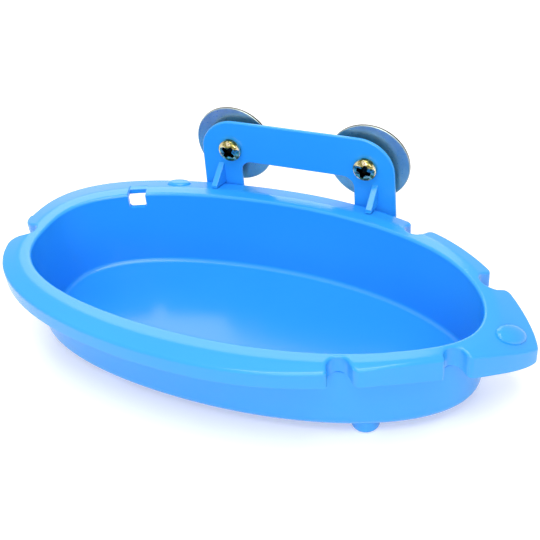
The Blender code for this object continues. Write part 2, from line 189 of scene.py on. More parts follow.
def flatSolid(name, outline, thickness, bevel):
    # closed outline in XY, extruded along Z with rounded edges
    curve = bpy.data.curves.new(name, "CURVE")
    curve.dimensions = "2D"
    curve.fill_mode = "BOTH"
    curve.extrude = thickness / 2 - bevel
    curve.bevel_depth = bevel
    curve.bevel_resolution = meshSettings["bevelSteps"] if bevel else 0
    curve.offset = -bevel
    spline = curve.splines.new("POLY")
    spline.points.add(len(outline) - 1)
    for point, place in zip(spline.points, outline):
        point.co = (place[0], place[1], 0.0, 1.0)
    spline.use_cyclic_u = True
    source = bpy.data.objects.new(name, curve)
    scene.collection.objects.link(source)
    bpy.context.view_layer.update()
    done = source.evaluated_get(bpy.context.evaluated_depsgraph_get())
    mesh = bpy.data.meshes.new_from_object(done)
    bpy.data.objects.remove(source)
    weldMesh(mesh, False)
    return mesh


def roundedOutline(corners, steps):
    # closed outline from (x, y, radius) corners
    outline = []
    for i, (x, y, radius) in enumerate(corners):
        here = Vector((x, y))
        before = (Vector(corners[i - 1][:2]) - here).normalized()
        after = (Vector(corners[(i + 1) % len(corners)][:2]) - here).normalized()
        if radius == 0:
            outline.append(tuple(here))
            continue
        half = before.angle(after) / 2
        centre = here + (before + after).normalized() * radius / math.sin(half)
        start = here + before * radius / math.tan(half) - centre
        sweep = start.angle_signed(here + after * radius / math.tan(half) - centre)
        for step in range(steps + 1):
            outline.append(tuple(centre + Matrix.Rotation(-sweep * step / steps, 2) @ start))
    return outline


# the tub: one moulded skin, lofted round its rim
tubSettings = {
    "origin": (-0.0053, -0.0115853, 0.0424),  # basin's widest place, level with the rim's top
    "basinReach": (0.0902, 0.0938),  # left, right
    "basinHalf": (0.0435, 0.0412),  # back, front
    "basinPowers": (0.71, 0.77, 1.0, 0.96),  # left back, left front, right back, right front
    "depth": 0.0354,
    "draft": 0.0012,
    "floorFillet": 0.0022,
    "wall": 0.0022,
    "rimFlat": 0.0055,
    "rimReach": (0.0132, 0.0202),  # left, right
    "rimSide": (0.014, 0.0124),  # back, front
    "rimPowers": (0.54, 0.8, 1.42, 1.6),
    "rimSlope": 0.3,
    "creaseSoft": 0.0004,
    "innerEdge": 0.0013,
    "outerEdge": 0.0013,
    "lowerEdge": 0.0005,
    "skirt": 0.0068,
    "skirtRiseBack": 0.0018,
    "spoutLength": 0.048,
    "spoutDrop": 0.010,
    "stationGap": 0.0012,
    "stationTurn": 4.0,  # degrees
    "stationSamples": 4000,
    "edgeEase": 0.0006,  # how far the rim's directions are eased along its edge
    "skirtEase": 0.0016,
    "probe": 0.0004,  # way over which the top's slope is measured
    "steepest": 0.6,
    "leastSkirt": 0.001,
    "leastRoom": 0.0003,  # between the skirt and the wall, in a notch
    "hollowStart": 0.0004,  # room at which the hollow behind the skirt starts
    "hollowRun": 0.0016,
    "floorRings": (0.35, 0.72, 0.93),
    "wallRings": (0.2, 0.4, 0.6, 0.8),
    "outsideRings": (0.35, 0.7),
    "undersideRings": (0.93, 0.5),
    "filletTurn": 86,  # degrees, where the floor's fillet meets the wall
    "filletSteps": 9,
    "edgeSteps": 8,
    "lowerSteps": 4,
    "topSteps": 15,
    "smoothAngle": 40,
}

# notches; places: angle round the rim, 1 for the back or -1 for the front, width, how near the end comes
# to the basin, and the mouth's rounding and its flare (degrees), each on the way in and out
notchSettings = {
    "endRadius": 0.0042,
    "endShare": 0.9,  # the end's rounding, at most, of half the width
    "endEdge": 0.0008,
    "endSpread": 0.0004,
    "endSteps": 9,
    "flatSteps": 5,
    "lead": 0.012,
    "leadSteps": 9,
    "liftAtEnd": 0.0016,
    "deepest": 0.03,
    "sideGap": 0.0005,
    "mouthSteps": 10,
    "mouthSamples": 2000,
    "mouthReach": 0.3,  # as shares of the way along one side of the rim
    "searchReach": 0.2,
    "probe": 0.003,  # way in tau over which the rim's direction is measured
    "places": [
        (31.4, 1, 0.0082, 0.0040, (0.0022, 0.0026), (0, 0)),
        (56.4, 1, 0.0082, 0.0040, (0.0022, 0.0028), (0, 0)),
        (52.2, -1, 0.0084, 0.0024, (0.0026, 0.0013), (22, 0)),
        (28.2, -1, 0.0080, 0.0024, (0.0028, 0.0013), (22, 0)),
        (-88.7, -1, 0.0067, 0.0040, (0.0050, 0.0075), (10, 4)),
    ],
}
lap = 2.0  # tau runs this far once round the rim
bandSamples = 6000


def leafRing(tau, reach, half, powers, shift):
    # tau runs 0 to 1 along the back, left to right, and 1 to 2 along the front
    tau = np.mod(tau, lap)
    back = tau < 1.0
    angle = np.where(back, math.pi * (tau - 0.5), math.pi * (1.5 - tau))
    run = np.sin(angle)
    left = np.where(back, powers[0], powers[1])
    right = np.where(back, powers[2], powers[3])
    spread = np.where(back, half[0], half[1])
    spread = spread * np.maximum(np.cos(angle), 0.0) ** np.where(run < 0, left, right)
    x = run * np.where(run < 0, reach[0], reach[1])
    return np.stack([x, shift + np.where(back, spread, -spread)], axis=-1)


def basinRing(tau, grow):
    s = tubSettings
    reach = [r + grow for r in s["basinReach"]]
    half = [h + grow for h in s["basinHalf"]]
    return leafRing(tau, reach, half, s["basinPowers"], 0.0)


def rimReach():
    s = tubSettings
    return [basin + rim for basin, rim in zip(s["basinReach"], s["rimReach"])]


def rimRing(tau):
    s = tubSettings
    back, front = [b + r for b, r in zip(s["basinHalf"], s["rimSide"])]
    middle = (back + front) / 2
    return leafRing(tau, rimReach(), (middle, middle), s["rimPowers"], (back - front) / 2)


def spoutDip(x):
    s = tubSettings
    start = rimReach()[1] - s["spoutLength"]
    return -s["spoutDrop"] * np.maximum((x - start) / s["spoutLength"], 0.0) ** 2


def unit(v):
    return v / np.maximum(np.linalg.norm(v, axis=-1, keepdims=True), 1e-12)


def dot2(a, b):
    return (a * b).sum(axis=-1)


fineTau = lap * np.arange(bandSamples) / bandSamples
bandEdge = basinRing(fineTau, tubSettings["rimFlat"])
bandAhead = np.roll(bandEdge, -1, axis=0) - np.roll(bandEdge, 1, axis=0)
bandOut = unit(np.stack([-bandAhead[:, 1], bandAhead[:, 0]], axis=-1))


def nearestOnBand(points):
    flat = points.reshape(-1, 2)
    best = np.empty(len(flat), dtype=int)
    batch = 400
    for i in range(0, len(flat), batch):
        away = ((flat[i:i + batch, None, :] - bandEdge[None]) ** 2).sum(axis=-1)
        best[i:i + batch] = away.argmin(axis=1)
    return best.reshape(points.shape[:-1])


def nearestTau(points):
    return fineTau[nearestOnBand(points)]


def topHeight(points):
    # falls with the run, which is how far a plan point lies outside the flat band
    s = tubSettings
    near = nearestOnBand(points)
    run = dot2(points - bandEdge[near], bandOut[near]) / s["creaseSoft"]
    straight = 30  # past this the soft crease is a straight line
    soft = np.where(run > straight, run, np.log1p(np.exp(np.minimum(run, straight))))
    return -s["rimSlope"] * s["creaseSoft"] * soft + spoutDip(points[..., 0])


def skirtHeight(tau):
    s = tubSettings
    drop = s["rimSlope"] * np.linalg.norm(rimRing(tau) - basinRing(tau, s["rimFlat"]), axis=-1)
    wrapped = np.mod(tau, lap)
    rise = np.where(wrapped < 1.0, s["skirtRiseBack"] * np.sin(math.pi * np.minimum(wrapped, 1.0)), 0.0)
    return rise - drop - s["skirt"]


def bisect(test, low, high, halvings=40):
    for _ in range(halvings):
        middle = (low + high) / 2
        if test(middle):
            low = middle
        else:
            high = middle
    return (low + high) / 2


def alongRim(tau):
    # direction of travel round the rim
    probe = notchSettings["probe"]
    return unit(rimRing(np.array(tau + probe)) - rimRing(np.array(tau - probe)))


def notchFrame(angle, side, nearness):
    # edge point, direction of travel round the rim, direction into the tub, and depth
    tau = 0.5 + angle / 180 if side > 0 else 1.5 - angle / 180
    edge = rimRing(np.array(tau))
    along = alongRim(tau)
    across = np.array([along[1], -along[0]])
    lip = basinRing(fineTau, nearness)

    def outside(depth):
        point = edge + across * depth
        near = ((lip - point) ** 2).sum(axis=-1).argmin()
        ahead = lip[(near + 1) % len(lip)] - lip[near - 1]
        away = point - lip[near]
        return ahead[0] * away[1] > ahead[1] * away[0]

    return tau, edge, along, across, bisect(outside, 0.0, notchSettings["deepest"])


def tauAcross(ring, tau, edge, along, target):
    # the place on a ring that stands this far along the notch's width
    reach = notchSettings["searchReach"]
    return bisect(lambda t: dot2(ring(np.array(t)) - edge, along) < target, tau - reach, tau + reach)


def mouthArc(notch, hand, foot, flare, radius):
    # the arc that touches both the rim's edge and the notch's side
    # the side starts at its foot, by the notch's end
    n = notchSettings
    tau, edge, along, across = notch
    taus = np.linspace(tau, tau + hand * n["mouthReach"], n["mouthSamples"])
    rim = rimRing(taus) - edge
    rim = np.stack([hand * dot2(rim, along), dot2(rim, across)], axis=-1)
    away = np.array([math.cos(flare), math.sin(flare)])
    out = np.array([math.sin(flare), -math.cos(flare)])
    clear = lambda length: np.linalg.norm(rim - foot - out * length - away * radius, axis=-1).min() > radius
    reach = (foot[1] + radius * math.sin(flare)) / math.cos(flare)
    centre = foot + out * bisect(clear, 0.0, reach) + away * radius
    touch = np.linalg.norm(rim - centre, axis=-1).argmin()
    first = math.atan2(*(rim[touch] - centre)[::-1])
    sweep = math.remainder(math.pi + flare - first, 2 * math.pi)
    turns = first + sweep * np.linspace(0, 1, n["mouthSteps"] + 1)
    return taus[touch], centre + radius * circle(turns)


def notchStations(place):
    # outline points through one notch, each with its place on the basin's edge
    n = notchSettings
    angle, side, width, nearness, mouth, flares = place
    tau, edge, along, across, depth = notchFrame(angle, side, nearness)
    half = width / 2
    r = min(n["endRadius"], half * n["endShare"])
    innerRing = lambda t: basinRing(t, tubSettings["innerEdge"])
    innerTau = lambda u: tauAcross(innerRing, tau, edge, along, u)
    halves = []
    for hand, radius, flare in zip((-1, 1), mouth, np.radians(flares)):
        leadTau = tauAcross(rimRing, tau, edge, along, hand * (half + n["lead"]))
        turns = np.linspace(flare, math.pi / 2, n["endSteps"])
        end = np.array([half - r, depth - r]) + r * circle(turns)
        bendTau, bend = mouthArc((tau, edge, along, across), hand, end[0], flare, radius)
        count = max(int(np.linalg.norm(end[0] - bend[-1]) / n["sideGap"]), 2)
        straight = bend[-1] + (end[0] - bend[-1]) * np.linspace(0, 1, count)[1:, None]
        local = np.concatenate([bend, straight])
        lane = rimRing(np.linspace(leadTau, bendTau, n["leadSteps"])[:-1])
        lane = np.concatenate([lane, edge + hand * local[:, :1] * along + local[:, 1:] * across])
        travelled = np.concatenate([[0], np.cumsum(np.linalg.norm(np.diff(lane, axis=0), axis=-1))])
        laneTau = nearestTau(lane[:1])[0]
        laneTau += lap * round((tau - laneTau) / lap)
        innerEnd = innerTau(hand * (end[0, 0] + n["endSpread"]))
        inner = laneTau + (innerEnd - laneTau) * travelled / travelled[-1]
        endTau = [innerTau(hand * u) for u in end[1:, 0]]
        lane = np.concatenate([lane, edge + hand * end[1:, :1] * along + end[1:, 1:] * across])
        halves.append((lane, np.concatenate([inner, endTau]), leadTau))
    flat = np.linspace(r - half, half - r, n["flatSteps"])[1:-1]
    middle = np.array([edge + along * u + across * depth for u in flat])
    middleTau = [innerTau(u) for u in flat]
    points = np.concatenate([halves[0][0], middle, halves[1][0][::-1]])
    inner = np.concatenate([halves[0][1], middleTau, halves[1][1][::-1]])
    inside = np.clip(dot2(points - edge, across) / depth, 0, 1) ** 2
    return halves[0][2], halves[1][2], points, inner, inside


def rimStations():
    # the whole outline of the rim, notches included
    s = tubSettings
    zones = sorted((notchStations(p) for p in notchSettings["places"]), key=lambda z: z[0])
    parts = []
    for i, (first, start, points, inner, inside) in enumerate(zones):
        parts.append((points, inner, inside, np.linspace(first, start, len(points))))
        stop = zones[(i + 1) % len(zones)][0]
        stop += lap if stop < start else 0.0
        taus = np.linspace(start, stop, s["stationSamples"])
        steps = np.diff(rimRing(taus), axis=0)
        heading = np.unwrap(np.arctan2(steps[:, 1], steps[:, 0]))
        turn = np.abs(np.diff(heading, prepend=heading[0])) / math.radians(s["stationTurn"])
        cost = np.cumsum(np.linalg.norm(steps, axis=-1) / s["stationGap"] + turn)
        count = int(cost[-1])
        picks = np.interp(np.arange(1, count) * cost[-1] / count, cost, taus[1:])
        between = rimRing(picks)
        near = nearestTau(between)
        near += lap * np.round((picks - near) / lap)
        parts.append((between, near, np.zeros(len(between)), picks))
    return [np.concatenate(part) for part in zip(*parts)]


def outlineNormals(points, soften):
    # outward normals, eased over a short way so that offsets never cross
    ahead = np.roll(points, -1, axis=0) - points
    lengths = np.linalg.norm(ahead, axis=-1)
    raw = unit(np.stack([-ahead[:, 1], ahead[:, 0]], axis=-1))
    place = np.cumsum(lengths) - lengths / 2
    total = lengths.sum()
    here = np.cumsum(lengths) - lengths
    away = np.abs(here[:, None] - place[None])
    away = np.minimum(away, total - away)
    weight = np.exp(-(away / soften) ** 2) * lengths[None]
    return unit(weight @ raw)


def basinRings(tau):
    # the floor, its fillet, the wall and the rounding at the wall's top
    s = tubSettings
    fillet, depth, edge = s["floorFillet"], s["depth"], s["innerEdge"]
    foot = basinRing(tau, -s["draft"] - fillet)
    rings = [ringAt(foot * share, -depth) for share in s["floorRings"]]
    for turn in np.radians(np.linspace(0, s["filletTurn"], s["filletSteps"])):
        plan = basinRing(tau, -s["draft"] - fillet * (1 - math.sin(turn)))
        rings.append(ringAt(plan, -depth + fillet * (1 - math.cos(turn))))
    foot = rings[-1]
    lipPlan = basinRing(tau, 0.0)
    lip = ringAt(lipPlan, -edge + spoutDip(lipPlan[:, 0]))
    rings += [foot + (lip - foot) * share for share in s["wallRings"]]
    for turn in np.radians(np.linspace(0, 90, s["edgeSteps"])):
        plan = basinRing(tau, edge * (1 - math.cos(turn)))
        rings.append(ringAt(plan, -edge * (1 - math.sin(turn)) + spoutDip(plan[:, 0])))
    return rings


def rimTopRings(inner, outline, sharp, inside):
    # the flat band and the slope, then the outer rounding; crest is the height where that starts
    s = tubSettings
    radius = s["outerEdge"] + (notchSettings["endEdge"] - s["outerEdge"]) * inside
    probe = outline - sharp * radius[:, None]
    tilt = (topHeight(probe - sharp * s["probe"]) - topHeight(probe)) / s["probe"]
    lean = np.arctan(np.clip(tilt, 0.0, s["steepest"]))
    inset = lambda turn: outline - sharp * (radius * (1 - np.sin(turn)))[:, None]
    brink = inset(lean)
    rings = []
    for step in range(1, s["topSteps"] + 1):
        plan = inner + (brink - inner) * step / s["topSteps"]
        rings.append(ringAt(plan, topHeight(plan)))
    crest = rings[-1][:, 2]
    for share in np.linspace(0, 1, s["edgeSteps"])[1:]:
        turn = lean + (math.pi / 2 - lean) * share
        rings.append(ringAt(inset(turn), crest - radius * (np.cos(lean) - np.cos(turn))))
    return rings, crest


def skirtRings(tau, outline, soft, inside, rimTau, top, crest):
    # the skirt, its lower edge, the hollow behind it and the way back to the wall
    s = tubSettings
    low = skirtHeight(rimTau) + spoutDip(outline[:, 0]) + notchSettings["liftAtEnd"] * inside
    low = np.minimum(low, top - s["leastSkirt"])
    lower, least = s["lowerEdge"], s["leastRoom"]
    wallPlan = basinRing(tau, s["wall"])
    behind = outline - soft * s["wall"]
    outward = unit(outline - wallPlan)
    room = dot2(behind - wallPlan, outward)
    hollow = np.clip((room - s["hollowStart"]) / s["hollowRun"], 0, 1)
    hollow = hollow * hollow * (3 - 2 * hollow)
    behind = np.where((room < least)[:, None], wallPlan + outward * least, behind)
    rings = [ringAt(outline, (top + low) / 2)]
    for turn in np.radians(np.linspace(0, 90, s["lowerSteps"])):
        plan = outline - soft * lower * (1 - math.cos(turn))
        rings.append(ringAt(plan, low + lower * (1 - math.sin(turn))))
    rings.append(ringAt(behind, low))
    roof = np.minimum(topHeight(behind), crest) - s["wall"]
    rings.append(ringAt(behind, low + (roof - low) * hollow))
    halfway = behind + (wallPlan - behind) / 2
    rings.append(ringAt(halfway, low + (topHeight(halfway) - s["wall"] - low) * hollow))
    height = low + (topHeight(wallPlan) - s["wall"] - low) * hollow
    drafted = basinRing(tau, s["wall"] + s["draft"] * height / (s["depth"] - s["floorFillet"]))
    rings.append(ringAt(drafted, height))
    return rings


def outsideRings(tau, start):
    # the outside of the wall, its fillet and the underside
    s = tubSettings
    fillet, depth = s["floorFillet"], s["depth"]
    outerFillet = fillet + s["wall"]
    end = ringAt(basinRing(tau, -s["draft"] - fillet + outerFillet), -depth + fillet)
    rings = [start + (end - start) * share for share in s["outsideRings"]]
    for turn in np.radians(np.linspace(90, 0, s["filletSteps"])):
        plan = basinRing(tau, -s["draft"] - fillet + outerFillet * math.sin(turn))
        rings.append(ringAt(plan, -depth + fillet - outerFillet * math.cos(turn)))
    underside = basinRing(tau, -s["draft"] - fillet)
    return rings + [ringAt(underside * share, -depth - s["wall"]) for share in s["undersideRings"]]


def tubSkin():
    s = tubSettings
    outline, tau, inside, rimTau = rimStations()
    sharp = outlineNormals(outline, s["edgeEase"])
    soft = outlineNormals(outline, s["skirtEase"])
    rings = basinRings(tau)
    top, crest = rimTopRings(rings[-1][:, :2], outline, sharp, inside)
    rings += top
    rings += skirtRings(tau, outline, soft, inside, rimTau, rings[-1][:, 2], crest)
    rings += outsideRings(tau, rings[-1])
    return meshFromGrid("bath_tub_skin", np.array(rings), True)


# wall window, rim domes and feet
tubDetails = {
    "windowAngle": -45.2,
    "windowWidth": 0.0075,
    "windowDepth": 0.0068,
    "windowReach": 0.0052,
    "windowRadius": 0.0014,
    "windowSteps": 10,
    "stepDepth": 0.0008,
    "stepWidth": 0.0081,
    "stepReach": 0.0078,
    "stepRadius": 0.0008,
    "stepSteps": 5,
    "domes": [  # x, y, length, width, height, turn from X
        (-0.0506, 0.0488, 0.0106, 0.0074, 0.0016, 10.4),
        (0.1044, -0.0008, 0.0140, 0.0084, 0.0022, 36.0),
    ],
    "domeSegments": (48, 24),
    "domeProbe": 0.0005,
    "footDiameter": 0.0109,
    "footHeight": 0.0048,
    "footRound": 0.0017,
    "footFlare": 0.0001,
    "footBite": 0.7,  # of the floor's thickness
    "footSteps": 7,
    "footSegments": 40,
    "footRight": 0.0577,
    "footLeft": 0.047,
    "footSpread": 0.0267,
}


def windowTools():
    d = tubDetails
    tau = 0.5 + d["windowAngle"] / 180
    edge = basinRing(np.array(tau), 0.0)
    along = alongRim(tau)
    turn = math.atan2(along[1], along[0])
    wide, deep, soft = d["windowWidth"] / 2, d["windowDepth"], d["windowRadius"]
    corners = [(-wide, -deep, soft), (wide, -deep, soft), (wide, deep, 0), (-wide, deep, 0)]
    outline = roundedOutline(corners, d["windowSteps"])
    place = Matrix.Translation((edge[0], edge[1], 0.0)) @ Matrix.Rotation(turn, 4, "Z")
    mesh = flatSolid("windowTool", outline, 2 * d["windowReach"], 0.0)
    opening = placedTool(mesh, place @ upright, "DIFFERENCE")
    wide, deep, soft = d["stepWidth"] / 2, d["stepReach"], d["stepRadius"]
    corners = [(-wide, -deep, 0), (wide, -deep, 0), (wide, deep, soft), (-wide, deep, soft)]
    outline = roundedOutline(corners, d["stepSteps"])
    mesh = flatSolid("stepTool", outline, 2 * d["stepDepth"], 0.0)
    return [opening, placedTool(mesh, place, "DIFFERENCE")]


def domeTools():
    d = tubDetails
    probe = d["domeProbe"]
    around, upward = d["domeSegments"]
    tools = []
    for x, y, length, width, rise, heading in d["domes"]:
        height = topHeight(np.array([(x, y), (x + probe, y), (x, y + probe)]))
        up = Vector(((height[0] - height[1]) / probe, (height[0] - height[2]) / probe, 1.0)).normalized()
        run = Matrix.Rotation(math.radians(heading), 3, "Z") @ Vector((1.0, 0.0, 0.0))
        run = (run - up * run.dot(up)).normalized()
        mesh = bpy.data.meshes.new("domeTool")
        work = bmesh.new()
        bmesh.ops.create_uvsphere(work, u_segments=around, v_segments=upward, radius=1.0)
        work.to_mesh(mesh)
        work.free()
        turn = Matrix((run, up.cross(run), up)).transposed().to_4x4()
        size = Matrix.Diagonal((length / 2, width / 2, rise, 1.0))
        place = Matrix.Translation((x, y, height[0])) @ turn @ size
        tools.append(placedTool(mesh, place, "UNION"))
    return tools


def footTools():
    s, d = tubSettings, tubDetails
    bottom = -s["depth"] - s["wall"] - d["footHeight"]
    radius, soft = d["footDiameter"] / 2, d["footRound"]
    profile = [(0.0, bottom), (radius - soft, bottom)]
    profile += [(radius - soft + x, bottom + soft + y) for x, y in arc(soft, -90, 0, d["footSteps"])][1:]
    profile += [(radius + d["footFlare"], bottom + d["footHeight"] + s["wall"] * d["footBite"])]
    profile += [(0.0, profile[-1][1])]
    mesh = turnedMesh("footTool", profile, d["footSegments"])
    return [
        placedTool(mesh, Matrix.Translation((x, y, 0.0)), "UNION")
        for x in (-d["footLeft"], d["footRight"])
        for y in (-d["footSpread"], d["footSpread"])
    ]


# hanger bracket: a plate on two legs, a rib on each leg and a peg under each rib
bracketSettings = {
    "front": 0.0454853,
    "thickness": 0.0016,
    "centre": 0.0028,
    "plateShift": -0.0007,  # the plate and its ribs, from the middle of the screws
    "height": 0.0280,
    "legOuter": 0.0436,
    "legInner": 0.0254,
    "legTaper": 0.0011,
    "legDrop": 0.0085,
    "archHeight": 0.0091,
    "archRadius": 0.005,
    "topRadius": 0.0155,
    "legRadius": 0.001,
    "cornerSteps": 14,
    "edge": 0.00055,
    "gussetWidth": 0.0026,
    "gussetReach": 0.0098,
    "gussetHeight": 0.0072,
    "gussetNose": 0.0012,
    "gussetMiddle": 0.0347,
    "gussetEdge": 0.0003,
    "gussetGap": 0.0002,  # above the rim
    "pegDiameter": 0.0017,
    "pegLength": 0.0022,
    "pegChamfer": 0.0003,
    "pegTop": 0.001,
    "pegSegments": 28,
    "pegClearance": 0.0003,
    "pegHole": (-0.006, 0.003),  # bottom and top of the tool that cuts it
    "boreDiameter": 0.0056,
    "boreReach": 0.01,
    "boreSegments": 48,
    "screwSpacing": 0.0602,
    "screwHeight": 0.0148,
    "smoothAngle": 35,
    "flatArea": 0.00002,
}


def plateFront():
    # in the tub's own frame
    return bracketSettings["front"] - tubSettings["origin"][1]


def ribPlaces():
    b = bracketSettings
    return [b["centre"] + b["plateShift"] + hand * b["gussetMiddle"] for hand in (-1, 1)]


def toolsAtPegs(mesh, operation):
    b = bracketSettings
    y = plateFront() - b["gussetReach"] + b["pegDiameter"]
    return [placedTool(mesh, Matrix.Translation((x, y, 0.0)), operation) for x in ribPlaces()]


def pegHoleTools():
    b = bracketSettings
    radius = b["pegDiameter"] / 2 + b["pegClearance"]
    return toolsAtPegs(pinMesh("pegHole", radius, *b["pegHole"], b["pegSegments"]), "DIFFERENCE")


def ribTools():
    # the foot of each rib follows the flat band and the slope of the tub's rim
    b, s = bracketSettings, tubSettings
    front, gap = plateFront(), b["gussetGap"]
    nose, root = front - b["gussetReach"], front + b["thickness"] / 2
    left, right = rimReach()
    tools = []
    for x in ribPlaces():
        tau = np.array(0.5 + math.asin(x / (left if x < 0 else right)) / math.pi)
        flatEdge = float(basinRing(tau, s["rimFlat"])[1])
        rimEdge = float(rimRing(tau)[1])
        fall = s["rimSlope"] * (rimEdge - flatEdge)
        outline = [
            (nose, gap), (flatEdge, gap), (rimEdge, gap - fall), (root, gap - fall),
            (root, b["gussetHeight"]), (front, b["gussetHeight"]), (nose, b["gussetNose"]),
        ]
        place = Matrix(((0, 0, 1, x), (1, 0, 0, 0), (0, 1, 0, 0), (0, 0, 0, 1)))
        mesh = flatSolid("rib", outline, b["gussetWidth"], b["gussetEdge"])
        tools.append(placedTool(mesh, place, "UNION"))
    return tools


def pegTools():
    b = bracketSettings
    radius, cut, top = b["pegDiameter"] / 2, b["pegChamfer"], b["pegTop"]
    tip = -tubSettings["wall"] - b["pegLength"]
    profile = [(0.0, tip), (radius - cut, tip), (radius, tip + cut), (radius, top), (0.0, top)]
    return toolsAtPegs(turnedMesh("peg", profile, b["pegSegments"]), "UNION")


def boreTools():
    b = bracketSettings
    reach = b["boreReach"]
    mesh = pinMesh("bore", b["boreDiameter"] / 2, -reach, reach, b["boreSegments"])
    tools = []
    for hand in (-1, 1):
        place = (b["centre"] + hand * b["screwSpacing"] / 2, plateFront(), b["screwHeight"])
        tools.append(placedTool(mesh, Matrix.Translation(place) @ upright, "DIFFERENCE"))
    return tools


def makeBracket():
    b = bracketSettings
    outer, inner, foot, soft = b["legOuter"], b["legInner"], -b["legDrop"], b["legRadius"]
    shoulder, arch = outer - b["legTaper"], b["archHeight"]
    corners = [
        (-outer, foot, soft), (-inner, foot, soft),
        (-inner, arch, b["archRadius"]), (inner, arch, b["archRadius"]),
        (inner, foot, soft), (outer, foot, soft),
        (shoulder, b["height"], b["topRadius"]), (-shoulder, b["height"], b["topRadius"]),
    ]
    outline = roundedOutline(corners, b["cornerSteps"])
    plate = addObject("hanger_bracket_skin", flatSolid("plate", outline, b["thickness"], b["edge"]))
    place = (b["centre"] + b["plateShift"], plateFront() + b["thickness"] / 2, 0)
    plate.matrix_world = Matrix.Translation(place) @ upright
    combine(plate, ribTools() + pegTools() + boreTools())
    mergeFlat(plate.data)
    plate.data.transform(Matrix.Translation(tubSettings["origin"]) @ plate.matrix_world)
    plate.matrix_world = Matrix.Identity(4)
    flatFaces(plate, b["smoothAngle"], b["flatArea"])
    return plate


def makeTub():
    tub = addObject("bath_tub_skin", tubSkin())
    combine(tub, windowTools() + domeTools() + footTools() + pegHoleTools())
    tub.data.transform(Matrix.Translation(tubSettings["origin"]))
    smoothFaces(tub, tubSettings["smoothAngle"])
    return tub


# clamp: screw, disc and nut, each modelled along Z from the screw's seat
clampSettings = {
    "seat": 0.0451853,
    "discFront": 0.0495853,
    "nutFront": 0.0510853,
    "headDiameter": 0.010,
    "headHeight": 0.0032,
    "headSide": 0.0013,
    "headEdge": 0.00025,
    "crownSteps": 15,
    "screwSegments": 72,
    "shank": 0.0025,
    "coreInset": 0.0003,
    "coreLength": 0.0012,
    "threadStart": 0.0008,
    "threadShape": (0.0, 0.15, 0.85, 1.0, 0.85, 0.15),
    "threadDepth": 0.00042,
    "threadSegments": 28,
    "threadWeld": 0.000003,
    "pitch": 0.0008,
    "length": 0.020,
    "recessSpan": 0.0062,
    "recessWidth": 0.0015,
    "recessDepth": 0.0027,
    "recessCorner": 1.5,  # of half the width
    "recessLevels": (-0.0005, 0.0004),  # above the crown and just under it
    "recessScales": (1.1, 1.0, 0.72),
    "recessTurns": {"left": 38.0, "right": 18.0},
    "discDiameter": 0.035,
    "discThickness": 0.0012,
    "discEdge": 0.0004,
    "discBore": 0.0056,
    "discBoreEdge": 0.0001,
    "discRings": (0.35, 0.7),
    "discSteps": 5,
    "discSegments": 128,
    "nutFlats": 0.008,
    "nutThickness": 0.004,
    "nutFace": 0.985,  # round face, of the flats
    "nutChamfer": 30,  # degrees
    "nutBore": 0.0056,
    "nutBoreEdge": 0.0004,
    "nutSegments": 96,
    "smoothAngles": {"screw": 32, "disc": 45, "nut": 25},
}


def threadMesh():
    # a helical thread whose rows follow the helix, fading out at both ends
    c = clampSettings
    around, shape = c["threadSegments"], c["threadShape"]
    perTurn = len(shape)
    start, end = c["threadStart"], c["length"]
    rows = (int((end - start) / c["pitch"]) + 2) * perTurn
    work = bmesh.new()
    verts = []
    for row in range(rows + 1):
        ring = []
        for k in range(around):
            height = start + c["pitch"] * (row / perTurn - 1 + k / around)
            inside = min(max(height, start), end)
            fade = min((inside - start) / c["pitch"], (end - inside) / c["pitch"], 1.0)
            radius = c["shank"] - c["threadDepth"] * (1 - shape[row % perTurn] * fade)
            turn = 2 * math.pi * k / around
            ring.append(work.verts.new((radius * math.cos(turn), radius * math.sin(turn), inside)))
        verts.append(ring)
    for row in range(rows):
        for k in range(around - 1):
            work.faces.new((verts[row][k], verts[row][k + 1], verts[row + 1][k + 1], verts[row + 1][k]))
        far = row + perTurn
        if far < rows:
            work.faces.new((verts[far][0], verts[far + 1][0], verts[row + 1][-1], verts[row][-1]))
    bmesh.ops.remove_doubles(work, verts=work.verts, dist=c["threadWeld"])
    bmesh.ops.dissolve_degenerate(work, edges=work.edges, dist=c["threadWeld"])
    bmesh.ops.holes_fill(work, edges=[e for e in work.edges if e.is_boundary], sides=0)
    bmesh.ops.recalc_face_normals(work, faces=work.faces)
    mesh = bpy.data.meshes.new("thread")
    work.to_mesh(mesh)
    work.free()
    return mesh


def recessTool(turn):
    # cross-shaped, narrowing towards its bottom
    c = clampSettings
    span, wide = c["recessSpan"] / 2, c["recessWidth"] / 2
    corner = wide * c["recessCorner"]
    cross = []
    for quarter in range(4):
        a = math.radians(90 * quarter + turn)
        for x, y in ((span, -wide), (span, wide), (corner, corner)):
            cross.append((x * math.cos(a) - y * math.sin(a), x * math.sin(a) + y * math.cos(a)))
    levels = (*c["recessLevels"], c["recessDepth"])
    rows = np.array([
        [(x * scale, y * scale, level - c["headHeight"]) for x, y in cross]
        for scale, level in zip(c["recessScales"], levels)
    ])
    return addObject("recessTool", meshFromGrid("recessTool", rows, True))


def finishOnScrew(item, label, along, angle):
    b = bracketSettings
    hand = -1 if label == "left" else 1
    place = (
        tubSettings["origin"][0] + b["centre"] + hand * b["screwSpacing"] / 2,
        along,
        tubSettings["origin"][2] + b["screwHeight"],
    )
    item.matrix_world = Matrix.Translation(place) @ Matrix.Rotation(-math.pi / 2, 4, "X")
    smoothFaces(item, angle)
    return item


